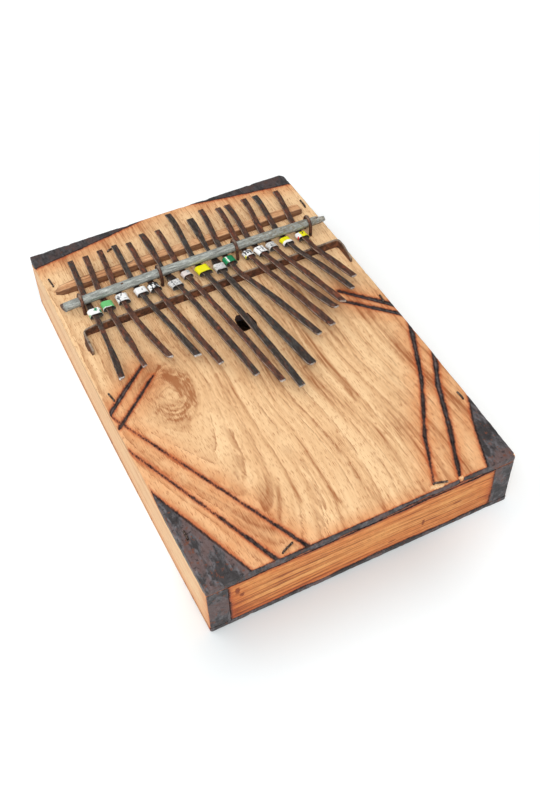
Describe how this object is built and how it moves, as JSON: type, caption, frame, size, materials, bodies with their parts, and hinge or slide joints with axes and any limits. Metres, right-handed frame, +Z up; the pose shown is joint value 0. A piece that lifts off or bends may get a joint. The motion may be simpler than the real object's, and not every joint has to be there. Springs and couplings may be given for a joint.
{
  "type": "box mbira",
  "caption": "Hollow wooden box thumb piano: sprung steel tongues held under a tied rod between a stick and a bridge, with loose tin cuffs that buzz.",
  "frame": {"origin": "centre of the box's underside", "axes": "+X to the player's right, +Y towards the head where the tines are clamped, +Z up out of the soundboard"},
  "size_m": [0.203, 0.304, 0.0589],
  "materials": {
    "board_wood": "planed, oiled, burnt with dark lines",
    "wall_wood": "sawn and sanded, corners burnt dark",
    "stick_wood": "split stick, rough, dark front",
    "galvanised_bar": "dull zinc, mottled",
    "rusty_strip": "brown rust over mill scale, worn top edge",
    "rusty_wire": "brown rusted wire",
    "nail_steel": "dull brown nail steel",
    "tine_grey": "hammered, dark scale, bright filed tip",
    "tine_brown": "hammered, thin brown rust, bright filed tip",
    "tin_white": "white lacquered tin, cut edges",
    "tin_light_green": "light green lacquered tin",
    "tin_green": "dark green lacquered tin, pale stripe",
    "tin_yellow": "yellow lacquered tin",
    "tin_black": "black and white lacquered tin",
    "tin_silver": "bare tin, scuffed",
    "tin_pink": "pale lacquered tin"
  },
  "bodies": {
    "box": {"soundboard": "board_wood", "back_board": "board_wood", "left_wall": "wall_wood", "right_wall": "wall_wood", "head_wall": "wall_wood", "foot_wall": "wall_wood", "backrest": "stick_wood", "pressure_rod": "galvanised_bar", "bridge": "rusty_strip", "rod_ties": "rusty_wire", "soundboard_nails": "nail_steel", "back_board_nails": "nail_steel", "tine_01_shank": "tine_grey", "tine_02_shank": "tine_brown", "tine_03_shank": "tine_brown", "tine_04_shank": "tine_grey", "tine_05_shank": "tine_brown", "tine_06_shank": "tine_grey", "tine_07_shank": "tine_brown", "tine_08_shank": "tine_grey", "tine_09_shank": "tine_grey", "tine_10_shank": "tine_grey", "tine_11_shank": "tine_brown", "tine_12_shank": "tine_brown", "tine_13_shank": "tine_brown", "tine_14_shank": "tine_grey", "tine_15_shank": "tine_brown"},
    "tine_01": {"tine_01_tongue": "tine_grey"},
    "cuff_01": {"cuff_01": "tin_white"},
    "tine_02": {"tine_02_tongue": "tine_brown"},
    "cuff_02": {"cuff_02": "tin_light_green"},
    "tine_03": {"tine_03_tongue": "tine_brown"},
    "cuff_03": {"cuff_03": "tin_white"},
    "tine_04": {"tine_04_tongue": "tine_grey"},
    "cuff_04": {"cuff_04": "tin_white"},
    "tine_05": {"tine_05_tongue": "tine_brown"},
    "cuff_05": {"cuff_05": "tin_black"},
    "tine_06": {"tine_06_tongue": "tine_grey"},
    "cuff_06": {"cuff_06": "tin_silver"},
    "tine_07": {"tine_07_tongue": "tine_brown"},
    "cuff_07": {"cuff_07": "tin_pink"},
    "tine_08": {"tine_08_tongue": "tine_grey"},
    "cuff_08": {"cuff_08": "tin_yellow"},
    "tine_09": {"tine_09_tongue": "tine_grey"},
    "cuff_09": {"cuff_09": "tin_silver"},
    "tine_10": {"tine_10_tongue": "tine_grey"},
    "cuff_10": {"cuff_10": "tin_green"},
    "tine_11": {"tine_11_tongue": "tine_brown"},
    "cuff_11": {"cuff_11": "tin_black"},
    "tine_12": {"tine_12_tongue": "tine_brown"},
    "cuff_12": {"cuff_12": "tin_white"},
    "tine_13": {"tine_13_tongue": "tine_brown"},
    "cuff_13": {"cuff_13": "tin_silver"},
    "tine_14": {"tine_14_tongue": "tine_grey"},
    "cuff_14": {"cuff_14": "tin_yellow"},
    "tine_15": {"tine_15_tongue": "tine_brown"},
    "cuff_15": {"cuff_15": "tin_yellow"}
  },
  "joints": [
    {"name": "tine_01_flex", "type": "hinge", "parent": "box", "child": "tine_01", "pos_m": [-0.0816, 0.05019, 0.05368], "axis": [0.9961, -0.0878, 0], "range_deg": [-2, 3], "stiffness_Nm_per_rad": 0.1762},
    {"name": "cuff_01_rattle", "type": "slide", "parent": "box", "child": "cuff_01", "axis": [-0.0202, -0.986, 0.1655], "range_m": [-0.001, 0.0025]},
    {"name": "tine_02_flex", "type": "hinge", "parent": "box", "child": "tine_02", "pos_m": [-0.07043, 0.05065, 0.05368], "axis": [0.9998, 0.0205, 0], "range_deg": [-2, 3], "stiffness_Nm_per_rad": 0.1479},
    {"name": "cuff_02_rattle", "type": "slide", "parent": "box", "child": "cuff_02", "axis": [-0.0239, -0.9863, 0.1631], "range_m": [-0.001, 0.0025]},
    {"name": "tine_03_flex", "type": "hinge", "parent": "box", "child": "tine_03", "pos_m": [-0.05873, 0.05057, 0.05368], "axis": [0.9913, 0.1317, 0], "range_deg": [-2, 3], "stiffness_Nm_per_rad": 0.1567},
    {"name": "cuff_03_rattle", "type": "slide", "parent": "box", "child": "cuff_03", "axis": [-0.0275, -0.9866, 0.161], "range_m": [-0.001, 0.0025]},
    {"name": "tine_04_flex", "type": "hinge", "parent": "box", "child": "tine_04", "pos_m": [-0.04354, 0.04952, 0.05368], "axis": [0.9907, 0.136, 0], "range_deg": [-2, 3], "stiffness_Nm_per_rad": 0.225},
    {"name": "cuff_04_rattle", "type": "slide", "parent": "box", "child": "cuff_04", "axis": [0.0349, -0.9866, 0.1591], "range_m": [-0.001, 0.0025]},
    {"name": "tine_05_flex", "type": "hinge", "parent": "box", "child": "tine_05", "pos_m": [-0.03325, 0.04764, 0.05368], "axis": [0.9942, 0.1079, 0], "range_deg": [-2, 3], "stiffness_Nm_per_rad": 0.3892},
    {"name": "cuff_05_rattle", "type": "slide", "parent": "box", "child": "cuff_05", "axis": [0.0347, -0.9868, 0.1579], "range_m": [-0.001, 0.0025]},
    {"name": "tine_06_flex", "type": "hinge", "parent": "box", "child": "tine_06", "pos_m": [-0.01816, 0.0448, 0.05368], "axis": [0.9954, 0.0956, 0], "range_deg": [-2, 3], "stiffness_Nm_per_rad": 0.7706},
    {"name": "cuff_06_rattle", "type": "slide", "parent": "box", "child": "cuff_06", "axis": [0.0991, -0.9827, 0.1562], "range_m": [-0.001, 0.0025]},
    {"name": "tine_07_flex", "type": "hinge", "parent": "box", "child": "tine_07", "pos_m": [-0.00816, 0.04299, 0.05368], "axis": [0.9946, 0.1035, 0], "range_deg": [-2, 3], "stiffness_Nm_per_rad": 1.113},
    {"name": "cuff_07_rattle", "type": "slide", "parent": "box", "child": "cuff_07", "axis": [0.0648, -0.9856, 0.1562], "range_m": [-0.001, 0.0025]},
    {"name": "tine_08_flex", "type": "hinge", "parent": "box", "child": "tine_08", "pos_m": [0.00302, 0.04165, 0.05368], "axis": [0.9973, 0.0737, 0], "range_deg": [-2, 3], "stiffness_Nm_per_rad": 1.4131},
    {"name": "cuff_08_rattle", "type": "slide", "parent": "box", "child": "cuff_08", "axis": [0.0381, -0.987, 0.1562], "range_m": [-0.001, 0.0025]},
    {"name": "tine_09_flex", "type": "hinge", "parent": "box", "child": "tine_09", "pos_m": [0.01346, 0.0436, 0.05368], "axis": [0.9929, 0.1193, 0], "range_deg": [-2, 3], "stiffness_Nm_per_rad": 0.9965},
    {"name": "cuff_09_rattle", "type": "slide", "parent": "box", "child": "cuff_09", "axis": [-0.0305, -0.9872, 0.1565], "range_m": [-0.001, 0.0025]},
    {"name": "tine_10_flex", "type": "hinge", "parent": "box", "child": "tine_10", "pos_m": [0.02387, 0.04675, 0.05368], "axis": [0.9725, 0.233, 0], "range_deg": [-2, 3], "stiffness_Nm_per_rad": 0.5244},
    {"name": "cuff_10_rattle", "type": "slide", "parent": "box", "child": "cuff_10", "axis": [0, -0.9876, 0.1569], "range_m": [-0.001, 0.0025]},
    {"name": "tine_11_flex", "type": "hinge", "parent": "box", "child": "tine_11", "pos_m": [0.0388, 0.04727, 0.05368], "axis": [0.9819, 0.1894, 0], "range_deg": [-2, 3], "stiffness_Nm_per_rad": 0.4461},
    {"name": "cuff_11_rattle", "type": "slide", "parent": "box", "child": "cuff_11", "axis": [0.0654, -0.9853, 0.1577], "range_m": [-0.001, 0.0025]},
    {"name": "tine_12_flex", "type": "hinge", "parent": "box", "child": "tine_12", "pos_m": [0.04786, 0.04907, 0.05368], "axis": [0.9744, 0.2246, 0], "range_deg": [-2, 3], "stiffness_Nm_per_rad": 0.2749},
    {"name": "cuff_12_rattle", "type": "slide", "parent": "box", "child": "cuff_12", "axis": [0.0965, -0.9827, 0.1582], "range_m": [-0.001, 0.0025]},
    {"name": "tine_13_flex", "type": "hinge", "parent": "box", "child": "tine_13", "pos_m": [0.05713, 0.04964, 0.05368], "axis": [0.9802, 0.198, 0], "range_deg": [-2, 3], "stiffness_Nm_per_rad": 0.2233},
    {"name": "cuff_13_rattle", "type": "slide", "parent": "box", "child": "cuff_13", "axis": [0.0508, -0.9858, 0.1601], "range_m": [-0.001, 0.0025]},
    {"name": "tine_14_flex", "type": "hinge", "parent": "box", "child": "tine_14", "pos_m": [0.06873, 0.05079, 0.05368], "axis": [0.973, 0.2308, 0], "range_deg": [-2, 3], "stiffness_Nm_per_rad": 0.1511},
    {"name": "cuff_14_rattle", "type": "slide", "parent": "box", "child": "cuff_14", "axis": [0.0592, -0.985, 0.1619], "range_m": [-0.001, 0.0025]},
    {"name": "tine_15_flex", "type": "hinge", "parent": "box", "child": "tine_15", "pos_m": [0.07859, 0.05225, 0.05368], "axis": [0.9819, 0.1895, 0], "range_deg": [-2, 3], "stiffness_Nm_per_rad": 0.0804},
    {"name": "cuff_15_rattle", "type": "slide", "parent": "box", "child": "cuff_15", "axis": [-0.0161, -0.9862, 0.1649], "range_m": [-0.001, 0.0025]}
  ]
}
